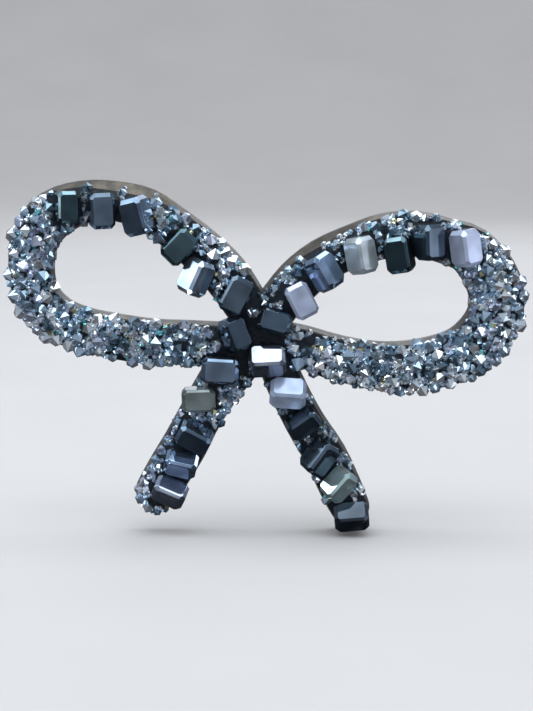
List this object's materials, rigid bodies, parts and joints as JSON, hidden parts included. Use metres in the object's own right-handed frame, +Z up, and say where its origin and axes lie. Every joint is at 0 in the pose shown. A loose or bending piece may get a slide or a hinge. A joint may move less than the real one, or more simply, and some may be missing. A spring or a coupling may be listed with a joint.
{
  "type": "bow brooch",
  "caption": "Bow-shaped brooch: a cast metal tray of dark setting clay studded with cut nuggets and small pointed crystals, with a hinged bar pin and a rotary safety catch on its back.",
  "frame": {"origin": "on the axis of the pin stem, at the middle of its straight shank", "axes": "+X to the right seen from the front, along the pin stem towards its point; +Y to the back, towards the wearer; +Z up as worn"},
  "size_m": [0.0727, 0.0113, 0.049],
  "materials": {
    "tray_metal": "antique bronze plating, satin",
    "dark_clay": "cured two-part setting clay, slightly rough",
    "dark_nugget": "foiled cut glass, dark slate",
    "pale_nugget": "foiled cut glass, blue-grey",
    "crystal": "foiled pointed crystal, silvery blue",
    "plated_metal": "nickel plating",
    "steel_wire": "drawn and ground"
  },
  "bodies": {
    "brooch": {"base_tray": "tray_metal", "setting_clay": "dark_clay", "nugget_knot_1": "dark_nugget", "nugget_knot_2": "dark_nugget", "nugget_knot_3": "dark_nugget", "nugget_knot_4": "dark_nugget", "nugget_left_loop_1": "dark_nugget", "nugget_left_loop_2": "pale_nugget", "nugget_left_loop_3": "pale_nugget", "nugget_left_loop_4": "dark_nugget", "nugget_left_loop_5": "pale_nugget", "nugget_left_loop_6": "pale_nugget", "nugget_left_tail_1": "pale_nugget", "nugget_left_tail_2": "dark_nugget", "nugget_left_tail_3": "dark_nugget", "nugget_left_tail_4": "pale_nugget", "nugget_right_loop_1": "pale_nugget", "nugget_right_loop_2": "pale_nugget", "nugget_right_loop_3": "dark_nugget", "nugget_right_loop_4": "pale_nugget", "nugget_right_loop_5": "pale_nugget", "nugget_right_loop_6": "pale_nugget", "nugget_right_tail_1": "pale_nugget", "nugget_right_tail_2": "dark_nugget", "nugget_right_tail_3": "dark_nugget", "nugget_right_tail_4": "pale_nugget", "nugget_right_tail_5": "dark_nugget", "crystals_knot": "crystal", "crystals_left_crest": "crystal", "crystals_left_loop": "crystal", "crystals_left_tail": "crystal", "crystals_right_crest": "crystal", "crystals_right_loop": "crystal", "crystals_right_tail": "crystal", "pin_bar": "plated_metal", "hinge_bracket": "plated_metal", "hinge_rivet": "plated_metal", "catch_housing": "plated_metal"},
    "pin_stem": {"pin_stem": "steel_wire"},
    "catch_rotor": {"catch_rotor": "plated_metal"}
  },
  "joints": [
    {"name": "stem_hinge", "type": "hinge", "parent": "brooch", "child": "pin_stem", "pos_m": [-0.012, 0, 0], "axis": [0, 0, 1], "range_deg": [0, 100]},
    {"name": "catch_turn", "type": "hinge", "parent": "brooch", "child": "catch_rotor", "pos_m": [0.0124, 0, 0], "axis": [1, 0, 0], "range_deg": [0, 90]}
  ]
}
